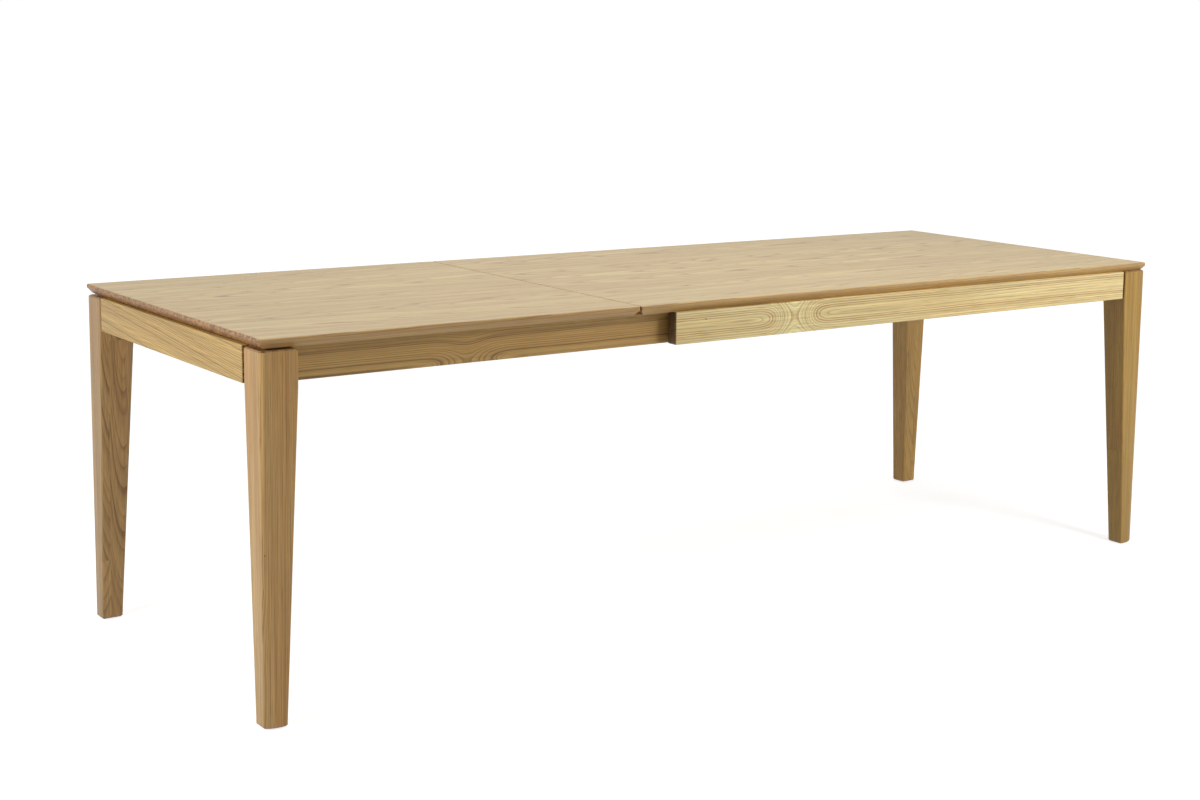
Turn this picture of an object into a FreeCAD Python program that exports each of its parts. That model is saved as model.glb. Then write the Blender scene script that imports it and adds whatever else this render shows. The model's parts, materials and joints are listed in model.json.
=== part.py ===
import FreeCAD, Part
import math
import os

# Draw leaf table in solid oak, shown drawn out with its leaf in place.
# Frame: +X along the table towards the fixed end, +Y towards the back, +Z up.
# Origin: on the floor, under the middle of the table as it stands drawn out.
# Units: millimetres. "main" pieces belong to the fixed frame under the main top,
# "drawn" pieces to the frame with the two legs that pulls out to the left.

V = FreeCAD.Vector
X, Y, Z = V(1, 0, 0), V(0, 1, 0), V(0, 0, 1)
FRONT, BACK = -1, 1
LEFT, RIGHT = -1, 1

# ---- The table -----------------------------------------------------------
TABLE_HEIGHT = 750.0
TABLE_WIDTH = 900.0
MAIN_LENGTH = 1600.0
LEAF_LENGTH = 850.0

# ---- Table tops ----------------------------------------------------------
TOP_T = 20.0
NOSE_H = 6.0            # upright part of the edge, above the under-bevel
BEVEL_RUN = 11.0        # how far the under-bevel reaches in from the edge
CORNER_R = 7.0          # corners seen from above
TOP_ARRIS = 1.5         # eased upper edge
SEAM_GAP = 0.6          # between the main top and the leaf
FOLD_GAP = 0.4          # between the two halves of the leaf

# ---- Legs ----------------------------------------------------------------
LEG_INSET = 1.5         # legs' outer faces stand this far inside the top's edge
LEG_X = 75.0
LEG_Y = 75.0
FOOT_X = 45.0
FOOT_Y = 45.0
ROUND_X_TOP = 11.0      # the outer corner's round, along the side face at the top
ROUND_X_FOOT = 25.0     # and at the foot, where it has grown wide
ROUND_Y = 9.0           # along the end face, all the way down
ROUND_FLATS = 8         # flats that make up the round
LEG_ARRIS = 2.0
LEG_END_ARRIS = 2.5
DRAWN_LEG_DROP = 1.5    # drawn legs' tops below the tops of their rails
GLIDE_R = 11.0
GLIDE_T = 3.0
GLIDE_PIN_R = 1.6
GLIDE_PIN_L = 14.0

# ---- Rails ---------------------------------------------------------------
DRAWN_GAP = 2.0         # between the drawn frame and the underside of the tops
RAIL_H = 70.5           # rails of the fixed frame, which carries its top directly
DRAWN_END_RAIL_H = 72.5
INNER_RAIL_H = 68.5
RAIL_T = 29.0           # outer side rails
END_RAIL_T = 29.0
RAIL_ARRIS = 1.2
JOINT_GAP = 7.0         # shadow gap between a rail and the leg it joins
TONGUE_T = 10.0
TONGUE_SETBACK = 14.0   # tongue behind the rail's face, deep in the shadow gap
TONGUE_DEPTH = 22.0     # into the leg
INNER_RAIL_T = 25.5
INNER_TONGUE_T = 12.0
INNER_TONGUE_DEPTH = 12.0
RAIL_CLEARANCE = 8.0    # between outer and inner rail
CLOSED_GAP = 15.0       # drawn leg to the outer rail's end, pushed in
MORTISE_FIT = 0.1

# ---- Corner blocks, bolts and nuts -----------------------------------------
BLOCK_T = 25.0
BLOCK_H = 50.0
BLOCK_LEG_GAP = 1.0     # the block pulls the leg home across this gap
BLOCK_RAISE = 6.0       # block's lower face above the inner rail's lower edge
BLOCK_CLEARANCE = 15.0  # moving inner rail and fixed runner stay this far off
BOLT_R = 4.0
BOLT_IN_LEG = 40.0
BOLT_END = 5.0          # thread showing past the nut
BOLT_FIT = 0.05
BOLT_CLEARANCE = 0.5
NUT_FLATS = 13.0
NUT_H = 6.5
WASHER_R = 10.0
WASHER_T = 1.6

# ---- Runners of the drawn frame --------------------------------------------
RUNNER_Y = 28.0
RUNNER_Z = 28.0
RUNNER_WALL = 2.5
RUNNER_TO_RAIL = 1.0
STOP_L = 10.0
SLIDE_FIT = 0.3
BAR_Y = 22.0
PAD_T = 1.2
PAD_L = 30.0
BAR_TO_RAIL_END = 5.0

# ---- Cross members of the drawn frame ----------------------------------------
TIE_T = 20.0
TIE_BELOW_RUNNER = 3.0
HOUSING = 8.0           # how deep a cross member is let into the inner rails
CROSS_RAISE = 2.0       # cross members above the inner rail's lower edge
TIE_TO_END = 20.0
BEARER_W = 80.0
BEARER_T = 14.0
BEARER_IN = 170.0       # middle of a bearer from the folded leaf's end
STORE_CLEARANCE = 5.0   # round the folded leaf in its store
FELT_W = 15.0
FELT_CLEARANCE = 0.3    # between the felts and the underside of the tops
FELT_IN = 3.0           # from a rail's inner face
FELT_END = 5.0          # felt stops short of a rail's end and of the seam plates

# ---- Fixings of the main top ---------------------------------------------
SCREW_R = 2.2
SCREW_HEAD_R = 4.4
SCREW_HEAD_H = 2.3
SCREW_SIDES = 8
ROUND_SIDES = 16        # bolts, washers, glides and hinge barrels
SCREW_FIT = 0.05
COUNTERBORE_R = 5.0
COUNTERBORE_H = 30.0
BITE = 12.0             # how deep screws go into a top
BATTEN_W = 60.0
BATTEN_T = 20.0
BATTEN_TO_RUNNER = 7.0
BATTEN_TO_STORE = 60.0  # clear of the put-away leaf
BATTEN_TO_END = 60.0    # middle of the far batten from the runners' ends
SIDE_SCREWS = 4
END_SCREWS = 3
BATTEN_SCREWS = 3
RUNNER_SCREWS = 5
BAR_SCREWS = 3
SCREW_END = 60.0        # first screw from the end of its piece

# ---- Seam plates and leaf hinges -------------------------------------------
PLATE_W = 30.0
PLATE_CLEARANCE = 0.5   # drawn end rail passes under the plates
PLATE_IN_MAIN = 70.0
PLATE_IN_LEAF = 50.0
PLATE_Y = (120.0, 320.0)
CUP_R = 7.0
CUP_L = 18.0
CUP_SLOT_W = 6.0
CUP_SLOT_L = 10.0
CUP_FIT = 0.05
LINK_T = 5.4
LINK_H = 6.4
LINK_TIP_GAP = 2.0
LEAF_HINGES = 3
HINGE_END = 100.0       # first hinge from the leaf's end
CUT_PAST = 1.0          # cutting blocks reach this far past a board
SAME = 1e-3             # places and volumes closer than this count as the same

# ---- Levels and lines worked out from the sizes above -------------------------
HALF_LENGTH = (MAIN_LENGTH + LEAF_LENGTH) / 2
HALF_WIDTH = TABLE_WIDTH / 2
SEAM_X = LEAF_LENGTH - HALF_LENGTH
TRAVEL = LEAF_LENGTH                      # how far the drawn frame pushes in
UNDERSIDE_Z = TABLE_HEIGHT - TOP_T
DRAWN_Z = UNDERSIDE_Z - DRAWN_GAP         # top of the drawn frame's rails
DRAWN_LEG_Z = DRAWN_Z - DRAWN_LEG_DROP    # top of its legs
PLATE_T = DRAWN_GAP - PLATE_CLEARANCE
PLATE_Z = UNDERSIDE_Z - PLATE_T
FELT_T = DRAWN_GAP - FELT_CLEARANCE
RAIL_Z = UNDERSIDE_Z - RAIL_H
DRAWN_END_RAIL_Z = DRAWN_Z - DRAWN_END_RAIL_H
INNER_RAIL_Z = DRAWN_Z - INNER_RAIL_H
LEG_FACE_X = HALF_LENGTH - LEG_INSET
LEG_FACE_Y = HALF_WIDTH - LEG_INSET
LEG_IN_X = LEG_FACE_X - LEG_X
LEG_IN_Y = LEG_FACE_Y - LEG_Y
END_RAIL_IN_X = LEG_FACE_X - END_RAIL_T
OUTER_RAIL_IN_Y = LEG_FACE_Y - RAIL_T
INNER_RAIL_OUT_Y = OUTER_RAIL_IN_Y - RAIL_CLEARANCE
INNER_RAIL_IN_Y = INNER_RAIL_OUT_Y - INNER_RAIL_T
OUTER_RAIL_X0 = -LEG_IN_X + TRAVEL + CLOSED_GAP
OUTER_RAIL_X1 = LEG_IN_X - JOINT_GAP

# Corner block between a side rail and an end rail, measured from the leg's
# outer corner: its two 45 degree faces lie on x + y = BLOCK_NEAR and BLOCK_FAR.
BLOCK_NEAR = LEG_X + LEG_Y + BLOCK_LEG_GAP * math.sqrt(2)
BLOCK_FAR = BLOCK_NEAR + BLOCK_T * math.sqrt(2)
MAIN_BLOCK_REACH = BLOCK_FAR - RAIL_T
DRAWN_BLOCK_REACH = BLOCK_FAR - (LEG_FACE_Y - INNER_RAIL_IN_Y)

INNER_RAIL_X0 = -LEG_IN_X
INNER_RAIL_X1 = LEG_FACE_X - MAIN_BLOCK_REACH - BLOCK_CLEARANCE - TRAVEL
BAR_X1 = INNER_RAIL_X1 - BAR_TO_RAIL_END
RUNNER_X0 = -LEG_FACE_X + TRAVEL + DRAWN_BLOCK_REACH + BLOCK_CLEARANCE
RUNNER_X1 = BAR_X1 + TRAVEL + SLIDE_FIT + STOP_L
BAR_X0 = RUNNER_X0 + STOP_L + SLIDE_FIT
RUNNER_OUT_Y = INNER_RAIL_IN_Y - RUNNER_TO_RAIL
RUNNER_IN_Y = RUNNER_OUT_Y - RUNNER_Y
RUNNER_LOW_Z = UNDERSIDE_Z - RUNNER_Z
SLOT_LOW_Z = RUNNER_LOW_Z + RUNNER_WALL
SLOT_TOP_Z = UNDERSIDE_Z - RUNNER_WALL
CROSS_Z = INNER_RAIL_Z + CROSS_RAISE
STORE_X0 = -END_RAIL_IN_X + STORE_CLEARANCE
STORE_X1 = STORE_X0 + LEAF_LENGTH
SIDE_SCREW_Y = LEG_FACE_Y - RAIL_T / 2
END_SCREW_X = LEG_FACE_X - END_RAIL_T / 2


# ---- Small helpers ---------------------------------------------------------
def block(x0, x1, y0, y1, z0, z1):
    """Box between two corners, given in any order along each axis."""
    low = V(min(x0, x1), min(y0, y1), min(z0, z1))
    return Part.makeBox(abs(x1 - x0), abs(y1 - y0), abs(z1 - z0), low)


def prism(points, direction):
    """Closed outline of points, extruded along direction."""
    outline = [V(*p) for p in points]
    return Part.Face(Part.makePolygon(outline + outline[:1])).extrude(direction)


def spread(first, last, count):
    """Places evenly spaced from first to last."""
    return [first + (last - first) * i / (count - 1) for i in range(count)]


def flipped(shape):
    """The same piece on the other long side of the table."""
    return shape.mirror(V(), Y)


def at_corner(shape, end, side):
    """Put a piece made from a leg's outer corner (+x, +y inwards) at a leg."""
    placed = shape.copy()
    if end == RIGHT:
        placed = placed.mirror(V(), X)
    if side == BACK:
        placed = placed.mirror(V(), Y)
    placed.translate(V(end * LEG_FACE_X, side * LEG_FACE_Y, 0))
    return placed


def edges_at(shape, z):
    """Edges of shape that lie flat at height z."""
    return [e for e in shape.Edges
            if abs(e.BoundBox.ZMin - z) < SAME and abs(e.BoundBox.ZMax - z) < SAME]


def ring(radius, sides):
    """Regular outline round the Z axis whose flats touch a circle of this radius."""
    corner = radius / math.cos(math.pi / sides)
    turns = [2 * math.pi * (i + 0.5) / sides for i in range(sides)]
    return [V(corner * math.cos(t), corner * math.sin(t), 0) for t in turns]


def flat_faces(a, b, c, d):
    """One face between four points, or two where they don't lie in one plane."""
    if abs((b - a).cross(c - a).dot(d - a)) < SAME:
        return [Part.Face(Part.makePolygon([a, b, c, d, a]))]
    return [Part.Face(Part.makePolygon([a, b, c, a])), Part.Face(Part.makePolygon([a, c, d, a]))]


def between(near, far):
    """Solid between two outlines with as many points."""
    faces = [Part.Face(Part.makePolygon(loop + loop[:1])) for loop in (near, far)]
    for i in range(len(near)):
        j = (i + 1) % len(near)
        faces += flat_faces(near[i], near[j], far[j], far[i])
    return Part.Solid(Part.Shell(faces))


def rod(radius, length, place, direction, sides, end_radius=None):
    """Flat-sided rod from place along direction, tapered if end_radius is given."""
    solid = between(ring(radius, sides), [p + Z * length for p in ring(end_radius or radius, sides)])
    solid.Placement = FreeCAD.Placement(place, FreeCAD.Rotation(Z, direction))
    return solid


def screw(place, direction, length, fit=0.0):
    """Countersunk screw: place is the middle of its head's face. fit makes its hole."""
    head = rod(SCREW_HEAD_R + fit, SCREW_HEAD_H, place, direction, SCREW_SIDES, SCREW_R + fit)
    shank = rod(SCREW_R + fit, length + fit, place, direction, SCREW_SIDES)
    return head.fuse([shank]).removeSplitter()


def drilled(shape, places, direction, length):
    """Shape with the holes of a row of screws cut in it."""
    return shape.cut([screw(place, direction, length, SCREW_FIT) for place in places])


def eased(shape, amount):
    """Shape with all its edges taken off at 45 degrees."""
    return shape.makeChamfer(amount, shape.Edges)


# ---- Table tops ------------------------------------------------------------
def bevelled_board(x0, x1):
    """Top board: upright nose, under-bevel on all four edges, rounded corners."""
    z0, z1 = UNDERSIDE_Z, TABLE_HEIGHT
    zn = TABLE_HEIGHT - NOSE_H
    y0, y1 = -HALF_WIDTH, HALF_WIDTH
    along = prism([(x0, y0 + BEVEL_RUN, z0), (x0, y1 - BEVEL_RUN, z0), (x0, y1, zn),
                   (x0, y1, z1), (x0, y0, z1), (x0, y0, zn)], X * (x1 - x0))
    across = prism([(x0 + BEVEL_RUN, y0, z0), (x1 - BEVEL_RUN, y0, z0), (x1, y0, zn),
                    (x1, y0, z1), (x0, y0, z1), (x0, y0, zn)], Y * (y1 - y0))
    plan = block(x0, x1, y0, y1, z0, z1)
    corners = [e for e in plan.Edges if e.BoundBox.ZLength > SAME]
    board = along.common([across]).common([plan.makeFillet(CORNER_R, corners)])
    return board.makeChamfer(TOP_ARRIS, edges_at(board, z1))


def side_screw_places(side):
    """Screws up through an outer rail, heads deep in their counterbores."""
    xs = spread(OUTER_RAIL_X0 + SCREW_END, OUTER_RAIL_X1 - SCREW_END, SIDE_SCREWS)
    return [V(x, side * SIDE_SCREW_Y, RAIL_Z + COUNTERBORE_H) for x in xs]


def end_screw_places():
    """Screws up through the fixed end rail."""
    y = LEG_IN_Y - JOINT_GAP - SCREW_END
    return [V(END_SCREW_X, yy, RAIL_Z + COUNTERBORE_H) for yy in spread(-y, y, END_SCREWS)]


TOP_SCREW_L = RAIL_H - COUNTERBORE_H + BITE
BATTEN_Y = RUNNER_IN_Y - BATTEN_TO_RUNNER
BATTEN_XS = (STORE_X1 + TRAVEL + BATTEN_TO_STORE + BATTEN_W / 2,
             RUNNER_X1 - BATTEN_TO_END)


def batten_screw_places():
    ys = spread(-BATTEN_Y + SCREW_END, BATTEN_Y - SCREW_END, BATTEN_SCREWS)
    return [V(x, y, UNDERSIDE_Z - BATTEN_T) for x in BATTEN_XS for y in ys]


def runner_screw_places(side):
    xs = spread(RUNNER_X0 + SCREW_END, RUNNER_X1 - SCREW_END, RUNNER_SCREWS)
    y = side * (RUNNER_OUT_Y + RUNNER_IN_Y) / 2
    return [V(x, y, SLOT_TOP_Z) for x in xs]


def plate_ys():
    return [side * y for side in (FRONT, BACK) for y in PLATE_Y]


def plate_screw_places():
    """Two screws in the part of each seam plate that lies under the main top."""
    xs = (SEAM_X + PLATE_IN_MAIN - PLATE_W / 2, SEAM_X + PLATE_IN_MAIN / 2)
    return [V(x, y, PLATE_Z) for x in xs for y in plate_ys()]


def main_top():
    board = bevelled_board(SEAM_X + SEAM_GAP / 2, HALF_LENGTH)
    rail_places = side_screw_places(FRONT) + side_screw_places(BACK) + end_screw_places()
    board = drilled(board, rail_places, Z, TOP_SCREW_L)
    board = drilled(board, batten_screw_places(), Z, BATTEN_T + BITE)
    board = drilled(board, runner_screw_places(FRONT) + runner_screw_places(BACK), Z,
                    RUNNER_WALL + BITE)
    return drilled(board, plate_screw_places(), Z, PLATE_T + BITE)


def hinge_xs():
    return spread(-HALF_LENGTH + HINGE_END, SEAM_X - HINGE_END, LEAF_HINGES)


def leaf_half(side):
    """One half of the leaf, bored along its middle edge for the hinge cups."""
    keep = block(-HALF_LENGTH - CUT_PAST, SEAM_X, side * FOLD_GAP / 2, side * (HALF_WIDTH + CUT_PAST),
                 UNDERSIDE_Z - CUT_PAST, TABLE_HEIGHT + CUT_PAST)
    half = bevelled_board(-HALF_LENGTH, SEAM_X - SEAM_GAP / 2).common([keep])
    middle = UNDERSIDE_Z + TOP_T / 2
    bores = [rod(CUP_R + CUP_FIT, CUP_L + FOLD_GAP / 2, V(x, 0, middle), Y * side, ROUND_SIDES)
             for x in hinge_xs()]
    return half.cut(bores)


def hinge_cups(side):
    """Barrels let into the leaf's middle edge, slotted for the link."""
    middle = UNDERSIDE_Z + TOP_T / 2
    mouth = side * FOLD_GAP / 2
    cups = []
    for x in hinge_xs():
        cup = rod(CUP_R, CUP_L, V(x, mouth, middle), Y * side, ROUND_SIDES)
        slot = block(x - CUP_SLOT_W / 2, x + CUP_SLOT_W / 2, mouth, mouth + side * CUP_SLOT_L,
                     middle - CUP_R, middle + CUP_R)
        cups.append(cup.cut(slot))
    return cups


def hinge_links():
    """Links that join each pair of cups, held in the back cup."""
    middle = UNDERSIDE_Z + TOP_T / 2
    root = FOLD_GAP / 2 + CUP_SLOT_L
    tip = -(FOLD_GAP / 2 + CUP_SLOT_L - LINK_TIP_GAP)
    return [block(x - LINK_T / 2, x + LINK_T / 2, tip, root,
                  middle - LINK_H / 2, middle + LINK_H / 2) for x in hinge_xs()]


# ---- Legs --------------------------------------------------------------------
def leg_outline(x1, y1, round_x, z, inset=0.0):
    """Outline of a leg at height z, inset from its faces.

    The inner corners are eased. The outer corner is an arc that meets the end face ROUND_Y
    from the corner and ends level with the side face, round_x from the corner.
    """
    e, low = LEG_ARRIS, inset
    x1, y1 = x1 - inset, y1 - inset
    inner = [(x1 - e, low), (x1, low + e), (x1, y1 - e), (x1 - e, y1), (low + e, y1), (low, y1 - e)]
    radius = (round_x ** 2 + ROUND_Y ** 2) / (2 * ROUND_Y)
    turns = spread(math.asin(round_x / radius), 0, ROUND_FLATS + 1)
    outer = [(low + round_x - radius * math.sin(t), low + radius * (1 - math.cos(t))) for t in turns]
    return [V(x, y, z) for x, y in outer + inner]


def leg(z1, knee_z):
    """Leg from its outer corner: square from its top down to knee_z, then tapered inwards."""
    z0, e = GLIDE_T, LEG_END_ARRIS
    foot = (FOOT_X, FOOT_Y, ROUND_X_FOOT)
    head = (LEG_X, LEG_Y, ROUND_X_TOP)
    outlines = [leg_outline(*foot, z0, e), leg_outline(*foot, z0 + e), leg_outline(*head, knee_z),
                leg_outline(*head, z1 - e), leg_outline(*head, z1, e)]
    lengths = [between(near, far) for near, far in zip(outlines, outlines[1:])]
    body = lengths[0].fuse(lengths[1:]).removeSplitter()
    x0 = TONGUE_SETBACK - MORTISE_FIT
    end_slot = block(x0, x0 + TONGUE_T + 2 * MORTISE_FIT, LEG_Y - TONGUE_DEPTH - MORTISE_FIT, LEG_Y,
                     knee_z - MORTISE_FIT, z1)
    pin_hole = rod(GLIDE_PIN_R + SCREW_FIT, GLIDE_PIN_L + SCREW_FIT, V(FOOT_X / 2, FOOT_Y / 2, z0), Z,
                   SCREW_SIDES)
    return body.cut([end_slot, pin_hole, leg_bolt(BOLT_FIT)])


def side_slot(y, tongue_t, tongue_depth, z0, z1):
    """Slot, open at the top, in a leg's side for the tongue of a side rail."""
    return block(LEG_X - tongue_depth - MORTISE_FIT, LEG_X, y - MORTISE_FIT, y + tongue_t + MORTISE_FIT,
                 z0 - MORTISE_FIT, z1)


def main_leg():
    slot = side_slot(TONGUE_SETBACK, TONGUE_T, TONGUE_DEPTH, RAIL_Z, UNDERSIDE_Z)
    return leg(UNDERSIDE_Z, RAIL_Z).cut(slot)


def drawn_leg():
    y = LEG_FACE_Y - INNER_RAIL_OUT_Y + (INNER_RAIL_T - INNER_TONGUE_T) / 2
    slot = side_slot(y, INNER_TONGUE_T, INNER_TONGUE_DEPTH, INNER_RAIL_Z, DRAWN_LEG_Z)
    return leg(DRAWN_LEG_Z, DRAWN_END_RAIL_Z).cut(slot)


def foot_glide():
    """Round glide under a foot, with the pin that holds it."""
    middle = V(FOOT_X / 2, FOOT_Y / 2, 0)
    disc = rod(GLIDE_R, GLIDE_T, middle, Z, ROUND_SIDES)
    pin = rod(GLIDE_PIN_R, GLIDE_T + GLIDE_PIN_L, middle, Z, SCREW_SIDES)
    return disc.fuse([pin]).removeSplitter()


# ---- Corner blocks, bolts and nuts --------------------------------------------
def block_z():
    return INNER_RAIL_Z + BLOCK_RAISE


def bolt_z():
    return block_z() + BLOCK_H / 2


def bolt_start():
    """Where the bolt's axis leaves the corner block's inner face."""
    along = (BLOCK_FAR - LEG_X - LEG_Y) / 2
    return V(LEG_X + along, LEG_Y + along, bolt_z())


def corner_block(rail_in):
    """Block across a corner; rail_in is the side rail's inner face from the leg's face."""
    outline = [(BLOCK_NEAR - rail_in, rail_in), (BLOCK_FAR - rail_in, rail_in),
               (END_RAIL_T, BLOCK_FAR - END_RAIL_T), (END_RAIL_T, BLOCK_NEAR - END_RAIL_T)]
    solid = prism([(x, y, block_z()) for x, y in outline], Z * BLOCK_H)
    return solid.cut(leg_bolt(BOLT_CLEARANCE))


def leg_bolt(fit=0.0):
    """Hanger bolt: one end in the leg, the other through the corner block."""
    outwards = V(1, 1, 0).normalize()
    length = BOLT_IN_LEG + BLOCK_LEG_GAP + BLOCK_T + WASHER_T + NUT_H + BOLT_END
    start = V(LEG_X, LEG_Y, bolt_z()) - outwards * (BOLT_IN_LEG + fit)
    return rod(BOLT_R + fit, length + fit, start, outwards, ROUND_SIDES)


def leg_nut():
    """Washer and hexagon nut on the bolt, against the corner block."""
    outwards = V(1, 1, 0).normalize()
    washer = rod(WASHER_R, WASHER_T, bolt_start(), outwards, ROUND_SIDES)
    nut = rod(NUT_FLATS / 2, NUT_H, bolt_start() + outwards * WASHER_T, outwards, 6)
    return washer.fuse([nut]).cut(leg_bolt(BOLT_FIT)).removeSplitter()


# ---- Rails -----------------------------------------------------------------------
def rail_bar(x0, x1, y0, y1, z0, z1):
    """Straight rail with all its edges eased."""
    return eased(block(x0, x1, y0, y1, z0, z1), RAIL_ARRIS)


def counterbores(places):
    """Deep bores from a rail's lower edge up to its screws' heads."""
    return [rod(COUNTERBORE_R, COUNTERBORE_H, V(p.x, p.y, RAIL_Z), Z, ROUND_SIDES) for p in places]


def outer_rail():
    """Front outer rail: tongue into the fixed leg, counterbores for the top's screws."""
    bar = rail_bar(OUTER_RAIL_X0, OUTER_RAIL_X1, -LEG_FACE_Y, -OUTER_RAIL_IN_Y, RAIL_Z, UNDERSIDE_Z)
    y0 = -LEG_FACE_Y + TONGUE_SETBACK
    tongue = block(OUTER_RAIL_X1 - RAIL_ARRIS, LEG_IN_X + TONGUE_DEPTH, y0, y0 + TONGUE_T,
                   RAIL_Z, UNDERSIDE_Z)
    rail = bar.fuse([tongue]).removeSplitter()
    places = side_screw_places(FRONT)
    return drilled(rail.cut(counterbores(places)), places, Z, TOP_SCREW_L)


def end_rail(z0, z1, leg_z):
    """End rail of the fixed end, a tongue at each end as high as the legs."""
    y1 = LEG_IN_Y - JOINT_GAP
    bar = rail_bar(END_RAIL_IN_X, LEG_FACE_X, -y1, y1, z0, z1)
    x1 = LEG_FACE_X - TONGUE_SETBACK
    reach = LEG_IN_Y + TONGUE_DEPTH
    tongue = block(x1 - TONGUE_T, x1, -reach, reach, z0, leg_z)
    return bar.fuse([tongue]).removeSplitter()


def main_end_rail():
    places = end_screw_places()
    rail = end_rail(RAIL_Z, UNDERSIDE_Z, UNDERSIDE_Z)
    return drilled(rail.cut(counterbores(places)), places, Z, TOP_SCREW_L)


def drawn_end_rail():
    return end_rail(DRAWN_END_RAIL_Z, DRAWN_Z, DRAWN_LEG_Z).mirror(V(), X)


def inner_rail():
    """Front inner rail: stub tongue into the drawn leg, housings for the cross members."""
    bar = rail_bar(INNER_RAIL_X0, INNER_RAIL_X1, -INNER_RAIL_OUT_Y, -INNER_RAIL_IN_Y,
                   INNER_RAIL_Z, DRAWN_Z)
    y0 = -INNER_RAIL_OUT_Y + (INNER_RAIL_T - INNER_TONGUE_T) / 2
    tongue = block(INNER_RAIL_X0 - INNER_TONGUE_DEPTH, INNER_RAIL_X0 + RAIL_ARRIS,
                   y0, y0 + INNER_TONGUE_T, INNER_RAIL_Z, DRAWN_LEG_Z)
    rail = bar.fuse([tongue]).removeSplitter()
    rail = rail.cut([tie_rail()] + [store_bearer(x) for x in bearer_xs()])
    return drilled(rail, bar_screw_places(FRONT), V(0, FRONT, 0), bar_screw_length())


# ---- Runners and slide bars ------------------------------------------------------
def runner():
    """Front runner under the main top: a channel open towards the inner rail."""
    outside = block(RUNNER_X0, RUNNER_X1, -RUNNER_OUT_Y, -RUNNER_IN_Y, RUNNER_LOW_Z, UNDERSIDE_Z)
    slot = block(RUNNER_X0, RUNNER_X1, -RUNNER_OUT_Y, -RUNNER_IN_Y - RUNNER_WALL, SLOT_LOW_Z, SLOT_TOP_Z)
    return drilled(outside.cut(slot), runner_screw_places(FRONT), Z, RUNNER_WALL + BITE)


def runner_stops(side):
    """Plugs in both ends of a runner, which the slide bar comes up against."""
    y0, y1 = side * RUNNER_OUT_Y, side * (RUNNER_IN_Y + RUNNER_WALL)
    return [block(RUNNER_X0, RUNNER_X0 + STOP_L, y0, y1, SLOT_LOW_Z, SLOT_TOP_Z),
            block(RUNNER_X1 - STOP_L, RUNNER_X1, y0, y1, SLOT_LOW_Z, SLOT_TOP_Z)]


def bar_low_z():
    return SLOT_LOW_Z + SLIDE_FIT + PAD_T


def bar_top_z():
    return SLOT_TOP_Z - SLIDE_FIT - PAD_T


def bar_screw_length():
    return BAR_Y + INNER_RAIL_T / 2


def bar_screw_places(side):
    xs = spread(BAR_X0 + SCREW_END, BAR_X1 - SCREW_END, BAR_SCREWS)
    y = side * (INNER_RAIL_IN_Y - BAR_Y)
    return [V(x, y, (bar_low_z() + bar_top_z()) / 2) for x in xs]


def slide_bar():
    """Front slide bar, screwed to the inner rail's inner face."""
    bar = block(BAR_X0, BAR_X1, -INNER_RAIL_IN_Y, -INNER_RAIL_IN_Y + BAR_Y, bar_low_z(), bar_top_z())
    return drilled(bar, bar_screw_places(FRONT), V(0, FRONT, 0), bar_screw_length())


def glide_pads(side):
    """Pads above and below each end of a slide bar."""
    y0 = side * (INNER_RAIL_IN_Y - BAR_Y)
    y1 = side * (RUNNER_OUT_Y - RUNNER_WALL)
    pads = []
    for x in (BAR_X0, BAR_X1 - PAD_L):
        pads.append(block(x, x + PAD_L, y0, y1, bar_low_z() - PAD_T, bar_low_z()))
        pads.append(block(x, x + PAD_L, y0, y1, bar_top_z(), bar_top_z() + PAD_T))
    return pads


# ---- Cross members of the drawn frame --------------------------------------------
def cross_member(x0, x1, z1):
    """Board between the inner rails, its ends let into both of them."""
    reach = INNER_RAIL_IN_Y + HOUSING
    return block(x0, x1, -reach, reach, CROSS_Z, z1)


def tie_rail():
    """Holds the free ends of the inner rails apart."""
    x1 = INNER_RAIL_X1 - TIE_TO_END
    return cross_member(x1 - TIE_T, x1, RUNNER_LOW_Z - TIE_BELOW_RUNNER)


def bearer_xs():
    """Middles of the two bearers that the folded leaf lies on when it is put away."""
    return (STORE_X0 + BEARER_IN, STORE_X1 - BEARER_IN)


def store_bearer(x):
    return cross_member(x - BEARER_W / 2, x + BEARER_W / 2, CROSS_Z + BEARER_T)


def bearer_felt(x):
    z = CROSS_Z + BEARER_T
    reach = HALF_WIDTH / 2
    return block(x - FELT_W / 2, x + FELT_W / 2, -reach, reach, z, z + FELT_T)


def rail_felt():
    """Felt on the front inner rail, under the leaf and the main top."""
    y = -(INNER_RAIL_IN_Y + FELT_IN)
    return block(INNER_RAIL_X0 + FELT_END, INNER_RAIL_X1 - FELT_END, y - FELT_W, y,
                 DRAWN_Z, DRAWN_Z + FELT_T)


def end_felts():
    """Felts on the drawn end rail, which pass between the seam plates."""
    x = -(END_RAIL_IN_X + FELT_IN)
    reach = PLATE_W / 2 + FELT_END
    stops = sorted([y - reach for y in plate_ys()] + [y + reach for y in plate_ys()])[1:-1]
    return [block(x - FELT_W, x, y0, y1, DRAWN_Z, DRAWN_Z + FELT_T)
            for y0, y1 in zip(stops[::2], stops[1::2])]


# ---- Fixings of the main top -----------------------------------------------------
def top_batten(x):
    """Batten across the underside of the main top, clear of the put-away leaf."""
    board = block(x - BATTEN_W / 2, x + BATTEN_W / 2, -BATTEN_Y, BATTEN_Y,
                  UNDERSIDE_Z - BATTEN_T, UNDERSIDE_Z)
    return drilled(board, batten_screw_places(), Z, BATTEN_T + BITE)


def seam_plates():
    """Flat plates screwed under the main top; the leaf's edge lies on their free ends."""
    half = PLATE_W / 2
    plates = []
    for y in plate_ys():
        plate = block(SEAM_X - PLATE_IN_LEAF, SEAM_X + PLATE_IN_MAIN, y - half, y + half,
                      PLATE_Z, UNDERSIDE_Z)
        plates.append(drilled(plate, plate_screw_places(), Z, PLATE_T + BITE))
    return plates


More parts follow.
